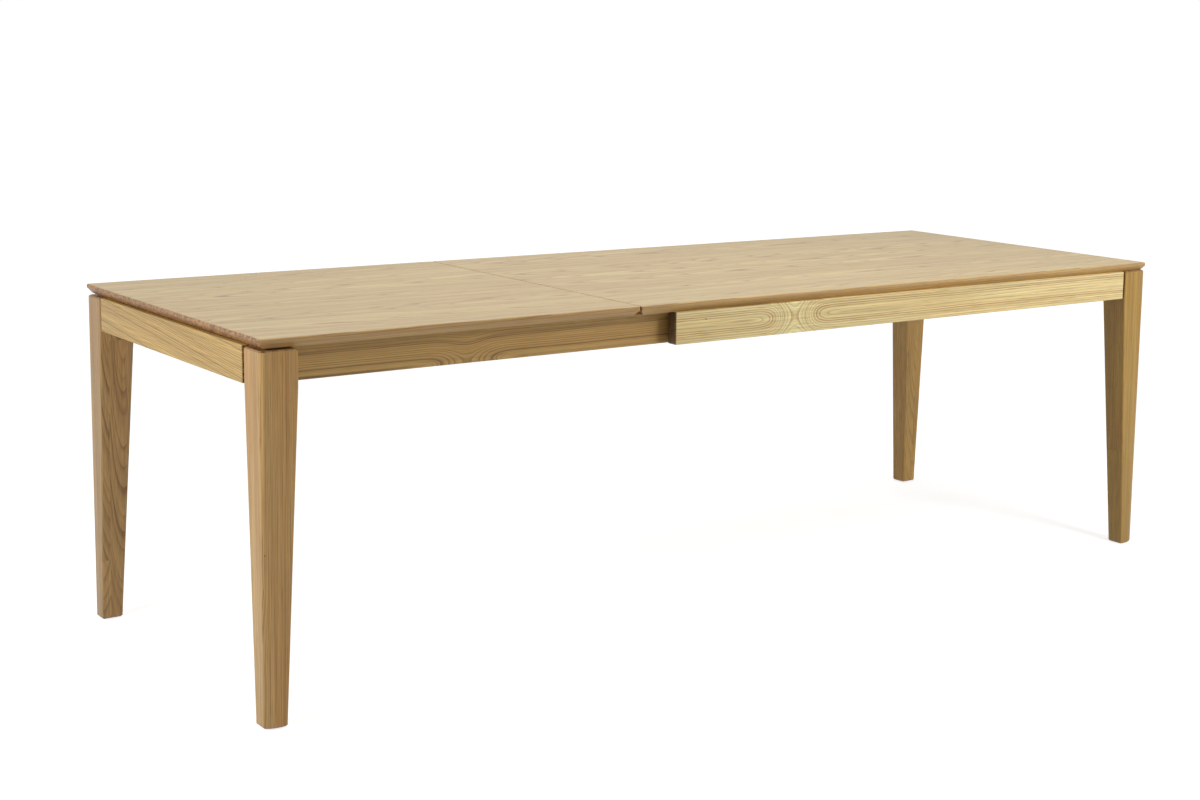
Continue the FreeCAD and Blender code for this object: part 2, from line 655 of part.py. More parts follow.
# ---- The whole table -----------------------------------------------------------------
def table():
    """Every node and the solids in it."""
    outwards = {FRONT: V(0, FRONT, 0), BACK: V(0, BACK, 0)}
    nodes = {
        "main_top": [main_top()],
        "main_end_rail": [main_end_rail()],
        "drawn_end_rail": [drawn_end_rail()],
        "tie_rail": [tie_rail()],
        "end_rail_felt": end_felts(),
        "seam_plates": seam_plates(),
        "leaf_hinge_links": hinge_links(),
        "bearer_felts": [bearer_felt(x) for x in bearer_xs()],
    }
    pairs = {"outer_rail": outer_rail(), "inner_rail": inner_rail(), "runner": runner(),
             "slide_bar": slide_bar(), "rail_felt": rail_felt()}
    corners = {"main_leg": (main_leg(), RIGHT), "drawn_leg": (drawn_leg(), LEFT),
               "main_corner_block": (corner_block(RAIL_T), RIGHT),
               "drawn_corner_block": (corner_block(LEG_FACE_Y - INNER_RAIL_IN_Y), LEFT)}
    for side, name in ((FRONT, "front"), (BACK, "back")):
        for piece, shape in pairs.items():
            nodes[piece + "_" + name] = [shape if side == FRONT else flipped(shape)]
        for piece, (shape, end) in corners.items():
            nodes[piece + "_" + name] = [at_corner(shape, end, side)]
        nodes["leaf_half_" + name] = [leaf_half(side)]
        nodes["leaf_hinge_cups_" + name] = hinge_cups(side)
    for end, name in ((RIGHT, "main"), (LEFT, "drawn")):
        for piece, shape in (("foot_glides", foot_glide()), ("leg_bolts", leg_bolt()),
                             ("leg_nuts", leg_nut())):
            nodes[name + "_" + piece] = [at_corner(shape, end, side) for side in (FRONT, BACK)]
    for name, x in zip(("near", "far"), BATTEN_XS):
        nodes["top_batten_" + name] = [top_batten(x)]
    for name, x in zip(("end", "middle"), bearer_xs()):
        nodes["store_bearer_" + name] = [store_bearer(x)]
    nodes["runner_stops"] = [s for side in (FRONT, BACK) for s in runner_stops(side)]
    nodes["glide_pads"] = [s for side in (FRONT, BACK) for s in glide_pads(side)]
    top_places = side_screw_places(FRONT) + side_screw_places(BACK) + end_screw_places()
    nodes["top_screws"] = [screw(p, Z, TOP_SCREW_L) for p in top_places]
    nodes["batten_screws"] = [screw(p, Z, BATTEN_T + BITE) for p in batten_screw_places()]
    runner_places = runner_screw_places(FRONT) + runner_screw_places(BACK)
    nodes["runner_screws"] = [screw(p, Z, RUNNER_WALL + BITE) for p in runner_places]
    nodes["seam_plate_screws"] = [screw(p, Z, PLATE_T + BITE) for p in plate_screw_places()]
    nodes["slide_bar_screws"] = [screw(p, outwards[side], bar_screw_length())
                                 for side in (FRONT, BACK) for p in bar_screw_places(side)]
    return nodes


os.makedirs("parts", exist_ok=True)
for node, solids in sorted(table().items()):
    shape = solids[0] if len(solids) == 1 else Part.makeCompound(solids)
    shape.exportStep("parts/" + node + ".step")
    print(node, len(shape.Solids), "solids", round(shape.Volume / 1000, 1), "cm3")
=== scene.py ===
# %% [markdown]
# A draw leaf table in oiled oak, drawn out, with its leaf in place.
# The table's construction comes ready made: every board, leg, rail and fixing is loaded
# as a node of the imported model. This lesson dresses those nodes: it makes the oak, the
# beech, the metals and the felt, adds the small fixings in full detail, sets up a plain
# studio and stands the camera in front. All lengths in Blender are metres.

import json
import math

import bmesh
import bpy
from mathutils import Matrix, Vector

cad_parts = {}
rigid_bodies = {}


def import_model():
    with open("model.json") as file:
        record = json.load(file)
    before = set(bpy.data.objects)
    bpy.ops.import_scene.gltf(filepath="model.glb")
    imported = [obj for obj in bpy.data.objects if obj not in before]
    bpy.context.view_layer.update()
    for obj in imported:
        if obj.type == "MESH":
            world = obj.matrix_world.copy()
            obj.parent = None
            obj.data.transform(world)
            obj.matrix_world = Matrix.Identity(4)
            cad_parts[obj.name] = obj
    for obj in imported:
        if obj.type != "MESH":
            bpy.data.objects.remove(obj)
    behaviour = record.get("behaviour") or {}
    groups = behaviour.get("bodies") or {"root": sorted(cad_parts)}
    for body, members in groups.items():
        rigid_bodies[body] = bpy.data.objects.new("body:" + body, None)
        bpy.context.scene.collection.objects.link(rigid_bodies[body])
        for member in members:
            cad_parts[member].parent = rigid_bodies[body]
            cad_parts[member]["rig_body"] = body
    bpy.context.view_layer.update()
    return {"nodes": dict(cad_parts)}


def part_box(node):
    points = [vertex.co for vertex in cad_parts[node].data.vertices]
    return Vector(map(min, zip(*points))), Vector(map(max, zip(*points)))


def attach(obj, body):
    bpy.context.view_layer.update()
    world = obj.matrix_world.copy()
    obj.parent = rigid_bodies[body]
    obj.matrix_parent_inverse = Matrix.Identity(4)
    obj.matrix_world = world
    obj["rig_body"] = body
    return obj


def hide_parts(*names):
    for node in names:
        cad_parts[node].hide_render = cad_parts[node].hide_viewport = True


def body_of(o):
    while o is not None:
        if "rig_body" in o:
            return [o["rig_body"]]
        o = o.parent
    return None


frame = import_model()

# %% [markdown]
# Two small tools serve every material below. A colour is written as the sRGB hex value
# that a paint chart or an eye-dropper gives, and turned to the linear values that
# Blender's shaders work in. A node is added with its settings and its links in one call.

# %% Colour and node tools


def colour(code):
    """Linear RGBA of an sRGB hex value such as "C8AB78"."""
    parts = [int(code[i:i + 2], 16) / 255 for i in (0, 2, 4)]
    return tuple(c / 12.92 if c <= 0.04045 else ((c + 0.055) / 1.055) ** 2.4
                 for c in parts) + (1.0,)


def add(tree, kind, links=None, **settings):
    """Adds a node. links gives its inputs, by name or number, a value or an output."""
    made = tree.nodes.new("ShaderNode" + kind)
    for name, value in settings.items():
        setattr(made, name, value)
    for place, value in (links or {}).items():
        if isinstance(value, bpy.types.NodeSocket):
            tree.links.new(value, made.inputs[place])
        else:
            made.inputs[place].default_value = value
    return made


def blank_material(name):
    """A new material with an empty node tree."""
    material = bpy.data.materials.new(name)
    material.use_nodes = True
    material.node_tree.nodes.clear()
    return material, material.node_tree


print("raw oak", [round(c, 3) for c in colour("C8AB78")])

# %% [markdown]
# Oak is a ring-porous wood: each year's growth begins with a band of open pores, which
# the sander leaves as fine dark dashes, and ends in smooth, paler latewood. A board's
# figure is the way the saw met those rings. So the wood is made as a solid: rings round
# a pith line that lies beside the board. Where the line leans through the wood, a face
# shows nested arches; where it lies far off to one side, straight lines. A flat picture
# of grain would not turn the corner on to the end grain as the solid does.
#
# One piece may be a single board, or several glued side by side. Each stave gets its own
# pith and tone from random numbers that depend only on its place.
#
# Sizes on the real wood: rings 2 to 6 mm apart, pores 0.3 mm wide and 5 to 20 mm long.
# Single pores are too fine to show from here, so they are drawn coarser, as the groups
# that the eye takes for one dash: 1.8 mm wide and 55 mm long.

# %% Sizes of the grain, in millimetres
MM = 1000.0
GOOD_YEARS = 16.0        # slow and fast growth come in groups of years
PORE_WIDE = 1.8
PORE_LONG = 55.0
FIBRE_WIDE = 3.0
FIBRE_LONG = 280.0
END_WIDE = 7.0           # light and dark dabs on a sawn end
KNOT_APART = 90.0        # between the middles of pin knots, each some 4 mm across
WANDER_LONG = 330.0      # over this length the rings drift once to the side,
WANDER_WIDE = 55.0       # and over this distance from the pith
CLOUD_LONG = 480.0       # patches of paler and warmer wood
CLOUD_WIDE = 60.0
AXES = {"X": (0, 1, 2), "Y": (1, 0, 2), "Z": (2, 0, 1)}   # along the grain, across, deep
print("pores", PORE_WIDE, "x", PORE_LONG, "mm, fibre streaks", FIBRE_WIDE, "mm wide")

# %% [markdown]
# The first half of the oak finds where each point of the wood lies: how far along the
# grain, which stave, and how far from that stave's pith. The distance from the pith,
# shaken a little by slow noise as real growth is, gives the rings.

# %% Where a point lies in its stave
STAVE_NUMBER = 7.31      # times a stave's middle: the number that its chance is drawn from
STAVE_APART = 40.0       # how far apart the staves lie in the slow noise
SLOW_NOISE = {"Scale": 1.0, "Detail": 3.5, "Roughness": 0.42}


def stave_place(tree, centre, grain, stave, joint, seed):
    """Outputs: along, across, deep in mm, and three random numbers of the stave."""
    spot = add(tree, "TexCoord").outputs["Object"]
    middle = [-c * MM for c in centre]
    spot = add(tree, "VectorMath", {0: spot, 1: (MM, MM, MM), 2: middle},
               operation="MULTIPLY_ADD").outputs[0]
    split = add(tree, "SeparateXYZ", {0: spot}).outputs
    along, across, deep = (split[i] for i in AXES[grain])
    if stave is None:
        chance = add(tree, "TexWhiteNoise", {"W": float(seed)}, noise_dimensions="1D")
        return along, across, deep, chance.outputs["Color"]
    width, uneven = stave
    lay = add(tree, "TexVoronoi", {"W": across, "Scale": 1 / width, "Randomness": uneven},
              voronoi_dimensions="1D")
    stave_middle = lay.outputs["W"]
    board = add(tree, "Math", {0: stave_middle, 1: STAVE_NUMBER}, operation="MULTIPLY").outputs[0]
    shift = add(tree, "TexWhiteNoise", {"W": board}, noise_dimensions="1D").outputs["Value"]
    run = add(tree, "Math", {0: along, 1: 1 / joint, 2: shift},
              operation="MULTIPLY_ADD").outputs[0]
    run = add(tree, "Math", {0: run}, operation="FLOOR").outputs[0]
    key = add(tree, "CombineXYZ", {0: board, 1: run, 2: float(seed)}).outputs[0]
    chance = add(tree, "TexWhiteNoise", {"Vector": key}, noise_dimensions="3D")
    across = add(tree, "Math", {0: across, 1: stave_middle}, operation="SUBTRACT").outputs[0]
    return along, across, deep, chance.outputs["Color"]


def ring_distance(tree, along, across, deep, chance, pith, spread, lean, wander, swirl):
    """Distance in mm from the stave's pith line, shaken by slow noise.

    swirl is a place along the board, a size and a length in mm: there the pith bends
    away, and the face shows arches that close towards each other.
    """
    draw = add(tree, "SeparateXYZ", {0: chance}).outputs
    place, size, length = swirl
    bend = add(tree, "Math", {0: along, 1: 1 / length, 2: -place / length},
               operation="MULTIPLY_ADD").outputs[0]
    bend = add(tree, "Math", {0: bend, 1: 2.0}, operation="POWER").outputs[0]
    bend = add(tree, "Math", {0: bend, 1: -1.0}, operation="MULTIPLY").outputs[0]
    bend = add(tree, "Math", {0: bend}, operation="EXPONENT").outputs[0]
    across = add(tree, "Math", {0: bend, 1: -size, 2: across},
                 operation="MULTIPLY_ADD").outputs[0]
    off = []
    for i, place in enumerate((across, deep)):
        start = add(tree, "MapRange", {0: draw[i], 3: pith[i] - spread[i],
                                       4: pith[i] + spread[i]})
        line = add(tree, "Math", {0: along, 1: lean[i], 2: start.outputs[0]},
                   operation="MULTIPLY_ADD").outputs[0]
        off.append(add(tree, "Math", {0: place, 1: line}, operation="SUBTRACT").outputs[0])
    far = add(tree, "CombineXYZ", {0: off[0], 1: off[1]}).outputs[0]
    far = add(tree, "VectorMath", {0: far}, operation="LENGTH").outputs["Value"]
    parts = [(along, 1 / WANDER_LONG), (far, 1 / WANDER_WIDE), (draw[2], STAVE_APART)]
    slow = [add(tree, "Math", {0: value, 1: scale}, operation="MULTIPLY").outputs[0]
            for value, scale in parts]
    slow = add(tree, "CombineXYZ", dict(enumerate(slow))).outputs[0]
    drift = add(tree, "TexNoise", {"Vector": slow, **SLOW_NOISE}).outputs[0]
    return add(tree, "Math", {0: drift, 1: wander, 2: far}, operation="MULTIPLY_ADD").outputs[0]


print("staves keep their own pith line and tone")

# %% [markdown]
# The second part counts the years. Each ring starts in a dark, open band; no two years
# are alike, so each has its own strength, and groups of good and poor years make the
# broader stripes that still show from across a room.

# %% Rings and streaks
SEED_STEP = 3.7          # one board's good years start this far from the next one's
YEAR_SHIFT = 3.0         # good years push the rings apart by up to this many
WEAKEST = 0.35           # strength of the faintest ring
BAND = ((0.16, 0.66), (0.36, 0.16), (0.8, 0.0), (0.95, 0.12))   # part of a year, darkness
STRIPE_SPAN = (0.32, 0.68)           # part of the noise's range that makes the stripes
CHANCE_APART = (19.0, 19.0, 19.0)    # how far apart the staves lie in the streaks' noise


def growth(tree, far, ring, seed):
    """Outputs: the open band at the start of each year, and the broad stripes, 0 to 1."""
    turn = add(tree, "Math", {0: far, 1: 1 / ring}, operation="MULTIPLY").outputs[0]
    years = add(tree, "Math", {0: far, 1: 1 / GOOD_YEARS, 2: float(seed) * SEED_STEP},
                operation="MULTIPLY_ADD").outputs[0]
    stripes = add(tree, "TexNoise", {"W": years, "Scale": 1.0, "Detail": 4.0, "Roughness": 0.62},
                  noise_dimensions="1D").outputs[0]
    turn = add(tree, "Math", {0: stripes, 1: YEAR_SHIFT, 2: turn},
               operation="MULTIPLY_ADD").outputs[0]
    part = add(tree, "Math", {0: turn}, operation="FRACT").outputs[0]
    year = add(tree, "Math", {0: turn}, operation="FLOOR").outputs[0]
    strength = add(tree, "TexWhiteNoise", {"W": year}, noise_dimensions="1D").outputs["Value"]
    strength = add(tree, "MapRange", {0: strength, 3: WEAKEST, 4: 1.0}).outputs[0]
    band = add(tree, "ValToRGB", {0: part})
    for at, level in BAND:
        band.color_ramp.elements.new(at).color = (level, level, level, 1)
    for end in (0, -1):
        band.color_ramp.elements[end].color = (1, 1, 1, 1)
    band = add(tree, "Math", {0: band.outputs[0], 1: strength}, operation="MULTIPLY").outputs[0]
    stripes = add(tree, "MapRange", {0: stripes, 1: STRIPE_SPAN[0], 2: STRIPE_SPAN[1]}).outputs[0]
    return band, stripes


def streaks(tree, place, chance, wide, long, detail):
    """Noise drawn out along the grain: place is along, across, deep in mm."""
    scales = (1 / long, 1 / wide, 1 / wide)
    parts = [add(tree, "Math", {0: value, 1: scale}, operation="MULTIPLY").outputs[0]
             for value, scale in zip(place, scales)]
    spot = add(tree, "CombineXYZ", dict(enumerate(parts))).outputs[0]
    spot = add(tree, "VectorMath", {0: chance, 1: CHANCE_APART, 2: spot},
               operation="MULTIPLY_ADD").outputs[0]
    return add(tree, "TexNoise", {"Vector": spot, "Scale": 1.0, "Detail": detail}).outputs[0]


print("stripes every", GOOD_YEARS, "mm or so")

# %% [markdown]
# The last part turns them into colour, shine and relief. Fibres run along the whole
# board as faint streaks; the sawn ends drink more oil and go darker; here and there sits
# a pin knot. The finish is a thin hardwax oil, sanded fine: half matt, a little duller
# in the pores. Faces that lean from level can take a tint of painted shade, which makes
# the upright and bevelled faces browner and darker than the level face.
#
# A span below is the part of a value's range in which a feature grows from nothing to
# its full strength.

# %% Oiled oak
PORE_SPAN = (0.54, 0.68)
PORE_REST = 0.25             # share of the pores that lie outside the open band
PORE_DARK = 0.6
PORE_BROWN = "705030"
CLOUD_SPAN = (0.35, 0.65)
RING_DARK = 0.58
STRIPE_DARK = 0.26
FIBRE_SPAN = (0.3, 0.7)
FIBRE_LIGHT = (0.82, 1.18)
KNOT_SPAN = (0.026, 0.014)   # rim and heart, as parts of KNOT_APART
KNOT_DARK = 0.75
KNOT_BROWN = "4A3019"
SIDE_SHADE_SPAN = (0.95, 0.75)    # how level a face is: below these it takes the painted shade tint
END_SPAN = (0.45, 0.8)       # how far a face looks along the grain, for a sawn end
END_SHARE = 0.93
DAB_SPAN = (0.42, 0.58)
SANDED = 0.0008              # metres, the rounding that sanding leaves on an arris
GRAIN_DEEP = 0.0002          # metres, the relief of fibres and pores
WOOD_IOR = 1.5


def oiled_oak(name, centre, grain="X", stave=None, joint=5000.0, pith=(0, -90), spread=(0, 0),
              lean=(0.0, 0.02), wander=9.0, swirl=(0.0, 0.0, 100.0), ring=4.2, seed=1,
              pale="D6BD8B", warm="C9A672", dark="9A7444", figure=1.0, mottle=0.5,
              rough=(0.4, 0.68), edge=None, ends=("A87F52", "6A4828")):
    """Hardwax-oiled oak, in staves or as one board, figured round its pith line.

    centre is the middle of the board in metres; stave, joint, pith, spread, wander, swirl
    and ring are mm. figure is the strength of the rings, mottle that of the clouds, edge
    a tint of painted shade for faces that lean from level, and ends the light and dark
    of a sawn end.
    """
    material, tree = blank_material("oiled_oak_" + name)
    along, across, deep, chance = stave_place(tree, centre, grain, stave, joint, seed)
    place = (along, across, deep)
    far = ring_distance(tree, *place, chance, pith, spread, lean, wander, swirl)
    band, stripes = growth(tree, far, ring, seed)
    fibre = streaks(tree, place, chance, FIBRE_WIDE, FIBRE_LONG, 4.0)
    pores = streaks(tree, place, chance, PORE_WIDE, PORE_LONG, 1.5)
    pores = add(tree, "MapRange", {0: pores, 1: PORE_SPAN[0], 2: PORE_SPAN[1]}).outputs[0]
    open_band = add(tree, "Math", {0: band, 1: 1 - PORE_REST, 2: PORE_REST},
                    operation="MULTIPLY_ADD").outputs[0]
    pores = add(tree, "Math", {0: pores, 1: open_band}, operation="MULTIPLY").outputs[0]

    tone = add(tree, "SeparateXYZ", {0: chance}).outputs[2]
    cloud = streaks(tree, place, chance, CLOUD_WIDE, CLOUD_LONG, 2.0)
    cloud = add(tree, "MapRange", {0: cloud, 1: CLOUD_SPAN[0], 2: CLOUD_SPAN[1],
                                   4: 1 - mottle}).outputs[0]
    blend = add(tree, "Math", {0: tone, 1: mottle, 2: cloud},
                operation="MULTIPLY_ADD").outputs[0]
    ground = add(tree, "Mix", {0: blend, 6: colour(pale), 7: colour(warm)}, data_type="RGBA")
    early = add(tree, "Math", {0: band, 1: RING_DARK * figure}, operation="MULTIPLY").outputs[0]
    early = add(tree, "Math", {0: stripes, 1: STRIPE_DARK * figure, 2: early},
                operation="MULTIPLY_ADD").outputs[0]
    ringed = add(tree, "Mix", {0: early, 6: ground.outputs[2], 7: colour(dark)},
                 data_type="RGBA").outputs[2]
    light = add(tree, "MapRange", {0: fibre, 1: FIBRE_SPAN[0], 2: FIBRE_SPAN[1],
                                   3: FIBRE_LIGHT[0], 4: FIBRE_LIGHT[1]}).outputs[0]
    lit = add(tree, "VectorMath", {0: ringed, "Scale": light}, operation="SCALE").outputs[0]
    share = add(tree, "Math", {0: pores, 1: PORE_DARK}, operation="MULTIPLY").outputs[0]
    pored = add(tree, "Mix", {0: share, 6: lit, 7: colour(PORE_BROWN)},
                data_type="RGBA").outputs[2]
    spot = add(tree, "CombineXYZ", dict(enumerate(place))).outputs[0]
    knots = add(tree, "TexVoronoi", {"Vector": spot,
                                     "Scale": 1 / KNOT_APART}).outputs["Distance"]
    knots = add(tree, "MapRange", {0: knots, 1: KNOT_SPAN[0], 2: KNOT_SPAN[1],
                                   4: KNOT_DARK}).outputs[0]
    pored = add(tree, "Mix", {0: knots, 6: pored, 7: colour(KNOT_BROWN)},
                data_type="RGBA").outputs[2]

    facing = add(tree, "SeparateXYZ", {0: add(tree, "TexCoord").outputs["Normal"]}).outputs
    # Painted shade: faces that lean from level are tinted browner and darker by edge.
    if edge:
        level = add(tree, "Math", {0: facing[2]}, operation="ABSOLUTE").outputs[0]
        level = add(tree, "MapRange", {0: level, 1: SIDE_SHADE_SPAN[0], 2: SIDE_SHADE_SPAN[1]}).outputs[0]
        side_shaded = add(tree, "VectorMath", {0: pored, 1: edge}, operation="MULTIPLY").outputs[0]
        pored = add(tree, "Mix", {0: level, 6: pored, 7: side_shaded}, data_type="RGBA").outputs[2]
    ended = add(tree, "Math", {0: facing[AXES[grain][0]]}, operation="ABSOLUTE").outputs[0]
    ended = add(tree, "MapRange", {0: ended, 1: END_SPAN[0], 2: END_SPAN[1],
                                   4: END_SHARE}).outputs[0]
    dabs = streaks(tree, place, chance, END_WIDE, END_WIDE, 2.0)
    dabs = add(tree, "MapRange", {0: dabs, 1: DAB_SPAN[0], 2: DAB_SPAN[1]}).outputs[0]
    sawn = add(tree, "Mix", {0: dabs, 6: colour(ends[0]), 7: colour(ends[1])},
               data_type="RGBA").outputs[2]
    wood = add(tree, "Mix", {0: ended, 6: pored, 7: sawn}, data_type="RGBA").outputs[2]

    shine = add(tree, "MapRange", {0: pores, 3: rough[0], 4: rough[1]}).outputs[0]
    relief = add(tree, "Math", {0: pores, 1: -1.0, 2: fibre}, operation="MULTIPLY_ADD").outputs[0]
    soft = add(tree, "Bevel", {"Radius": SANDED}, samples=4).outputs[0]
    bump = add(tree, "Bump", {"Strength": 0.25, "Distance": GRAIN_DEEP, "Height": relief,
                              "Normal": soft}).outputs[0]
    surface = add(tree, "BsdfPrincipled", {"Base Color": wood, "Roughness": shine,
                                           "IOR": WOOD_IOR, "Normal": bump})
    add(tree, "OutputMaterial", {0: surface.outputs[0]})
    return material


def middle_of(node):
    """Middle of a loaded node's box, in metres."""
    low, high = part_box(node)
    return [(a + b) / 2 for a, b in zip(low, high)]


def dress(node, material):
    """Puts one material on every slot of a loaded node."""
    piece = frame["nodes"][node]
    piece.data.materials.clear()
    piece.data.materials.append(material)


print("oak ready")

# %% [markdown]
# The tops are solid oak, glued from staves some 80 mm wide that run the whole length.
# The leaf's two halves are cut from one such board, so they share its staves. The rails
# are single boards: the front inner rail is sawn flat, with arches low on its face; the
# outer one is pale, and near its left end the grain swirls round the place of a branch.
# The legs are glued from two layers, and those of the back legs are joined end to end,
# so that they change tone at the joint.

# %% Oak pieces
TOP_STAVE = (78.0, 0.8)      # width in mm, and how uneven the widths are
LEG_LAYER = (37.5, 0.0)
LEAF_HALVES = ("leaf_half_front", "leaf_half_back")
# The tops' edge tint is painted shade on their upright and bevelled faces.
top_oak = dict(stave=TOP_STAVE, pith=(0, -70), spread=(60, 40), lean=(0.0, 0.03), wander=8.0,
               ring=3.6, pale="CBB67C", warm="BEA46C", dark="7F502C", figure=1.15, mottle=0.6,
               rough=(0.4, 0.64), edge=(1.06, 0.9, 0.78), ends=("B68552", "734C28"))
front_leg = dict(pith=(-30, -44), spread=(3, 3), lean=(0.012, 0.02), wander=12.0, ring=2.9)
back_leg = dict(pith=(20, -90), spread=(40, 30), lean=(0.0, 0.02), joint=640.0, ring=3.4)
drawn_oak = dict(grain="Z", stave=LEG_LAYER, pale="D9B273", warm="CA9B5C", dark="795222",
                 figure=1.15, mottle=0.3)
main_oak = dict(grain="Z", stave=LEG_LAYER, pale="B39147", warm="A87E37", dark="684717",
                figure=0.8, mottle=0.3)
drawn_back = dict(drawn_oak, pale="C6A26A", warm="B88E55", dark="6F4A20", **back_leg)
main_back = dict(main_oak, pale="E3B969", warm="D3A153", dark="845A25", **back_leg)
boards = {
    "main_top": dict(top_oak, seed=3),
    "leaf": dict(top_oak, seed=11),
    # Its sawn ends are darker than the other boards': end grain, and painted shade where its left
    # end stands under the tops.
    "outer_rail_front": dict(pith=(-9, 4), lean=(0.0, 0.003), wander=6.0,
                             swirl=(-399.0, 48.0, 56.0), ring=4.8, seed=5, figure=1.25,
                             pale="F5EFB7", warm="F5DF9D", dark="A56B39",
                             ends=("5A3D22", "36230F")),
    "outer_rail_back": dict(pith=(-60, -40), seed=6),
    "inner_rail_front": dict(pith=(-8, -29), lean=(0.004, 0.004), wander=7.0,
                             swirl=(-290.0, 26.0, 60.0), ring=4.2, seed=8, figure=1.3,
                             pale="D3B36F", warm="C59C5A", dark="714D21"),
    "inner_rail_back": dict(pith=(-30, -22), lean=(0.0, 0.01), seed=9),
    "main_end_rail": dict(grain="Y", pith=(-60, -30), seed=13),
    "drawn_end_rail": dict(grain="Y", pith=(40, 95), lean=(0.0, 0.09), wander=10.0,
                           ring=3.4, seed=14, figure=1.7,
                           pale="E6C271", warm="D7B162", dark="7C5520"),
    "drawn_leg_front": dict(drawn_oak, seed=28, **front_leg),
    "drawn_leg_back": dict(drawn_back, seed=31),
    "main_leg_front": dict(main_oak, seed=33, pith=(60, -120), ring=3.0),
    "main_leg_back": dict(main_back, seed=36),
}
for name, grown in boards.items():
    nodes = LEAF_HALVES if name == "leaf" else (name,)
    centre = middle_of(nodes[0])
    if name == "leaf":
        centre[1] = 0.0          # its halves meet on the table's middle line
    material = oiled_oak(name, centre, **grown)
    for node in nodes:
        dress(node, material)
print(len(boards), "oak materials")

# %% [markdown]
# Beech serves where nobody looks: corner blocks, battens, slide bars, bearers. It is
# planed and left raw: an even, pinkish wood marked with short brown flecks, 1 to 3 mm
# long, where its rays come to the surface. They are drawn some 3 mm long and 1 mm wide,
# about twice as wide as real ones, so that they show.

# %% Planed beech
FLECK_FINE, FLECK_LONG, FLECK_NOISE = 400.0, 130.0, {"Scale": 2.4, "Detail": 1.0}
FLECK_SPAN, FLECK_DARK = (0.57, 0.66), 0.4
SLOW_FINE, SLOW_LONG, SLOW_BANDS = 14.0, 1.6, {"Scale": 3.0, "Detail": 3.0}


def planed_beech(name, grain):
    """Unfinished beech with its short ray flecks along the grain."""
    material, tree = blank_material("planed_beech_" + name)
    spot = add(tree, "TexCoord").outputs["Object"]
    stretch = [FLECK_FINE] * 3
    stretch[AXES[grain][0]] = FLECK_LONG
    flecks = add(tree, "VectorMath", {0: spot, 1: stretch}, operation="MULTIPLY").outputs[0]
    flecks = add(tree, "TexNoise", {"Vector": flecks, **FLECK_NOISE}).outputs[0]
    flecks = add(tree, "MapRange", {0: flecks, 1: FLECK_SPAN[0], 2: FLECK_SPAN[1],
                                    4: FLECK_DARK}).outputs[0]
    slow = [SLOW_FINE] * 3
    slow[AXES[grain][0]] = SLOW_LONG
    bands = add(tree, "VectorMath", {0: spot, 1: slow}, operation="MULTIPLY").outputs[0]
    bands = add(tree, "TexNoise", {"Vector": bands, **SLOW_BANDS}).outputs[0]
    ground = add(tree, "Mix", {0: bands, 6: colour("DDB98F"), 7: colour("C79D72")},
                 data_type="RGBA").outputs[2]
    wood = add(tree, "Mix", {0: flecks, 6: ground, 7: colour("96683F")},
               data_type="RGBA").outputs[2]
    rough = add(tree, "MapRange", {0: bands, 3: 0.62, 4: 0.78}).outputs[0]
    bump = add(tree, "Bump", {"Strength": 0.2, "Distance": GRAIN_DEEP,
                              "Height": bands}).outputs[0]
    surface = add(tree, "BsdfPrincipled", {"Base Color": wood, "Roughness": rough,
                                           "IOR": WOOD_IOR, "Normal": bump})
    add(tree, "OutputMaterial", {0: surface.outputs[0]})
    return material


beech = {grain: planed_beech(grain.lower(), grain) for grain in "XYZ"}
BEECH_GRAIN = {"X": ("slide_bar_front", "slide_bar_back"),
               "Y": ("tie_rail", "store_bearer_end", "store_bearer_middle", "top_batten_near",
                     "top_batten_far"),
               "Z": ("main_corner_block_front", "main_corner_block_back",
                     "drawn_corner_block_front", "drawn_corner_block_back")}
for grain, names in BEECH_GRAIN.items():
    for node in names:
        dress(node, beech[grain])
print("beech on", sum(len(names) for names in BEECH_GRAIN.values()), "nodes")

# %% [markdown]
# The metals: the runners are extruded aluminium, anodised silver, with faint die lines
# along their length; bolts, nuts, screws and plates are steel with a thin bright zinc
# coat, which is slightly cloudy; the hinge barrels are turned brass, marked in fine
# rings by the tool. A metal's colour is in its reflection, so metallic is 1 and the
# roughness carries the finish.

# %% Metals
MARK_SPAN = (0.3, 0.7)
MARK_SHADE = (0.9, 1.05)


def metal(name, tint, stretch, rough_low, rough_high, relief):
    """A bare or plated metal whose roughness follows stretched tool or die marks.

    stretch is how many marks there are to a metre each way, and relief is in metres.
    """
    material, tree = blank_material(name)
    spot = add(tree, "TexCoord").outputs["Object"]
    marks = add(tree, "VectorMath", {0: spot, 1: stretch}, operation="MULTIPLY").outputs[0]
    marks = add(tree, "TexNoise", {"Vector": marks, "Scale": 1.0, "Detail": 3.0}).outputs[0]
    rough = add(tree, "MapRange", {0: marks, 1: MARK_SPAN[0], 2: MARK_SPAN[1],
                                   3: rough_low, 4: rough_high}).outputs[0]
    shade = add(tree, "MapRange", {0: marks, 1: MARK_SPAN[0], 2: MARK_SPAN[1],
                                   3: MARK_SHADE[0], 4: MARK_SHADE[1]}).outputs[0]
    tinted = add(tree, "VectorMath", {0: colour(tint)[:3], "Scale": shade},
                 operation="SCALE").outputs[0]
    bump = add(tree, "Bump", {"Strength": 0.15, "Distance": relief, "Height": marks}).outputs[0]
    surface = add(tree, "BsdfPrincipled", {"Base Color": tinted, "Roughness": rough,
                                           "Metallic": 1.0, "Normal": bump})
    add(tree, "OutputMaterial", {0: surface.outputs[0]})
    return material


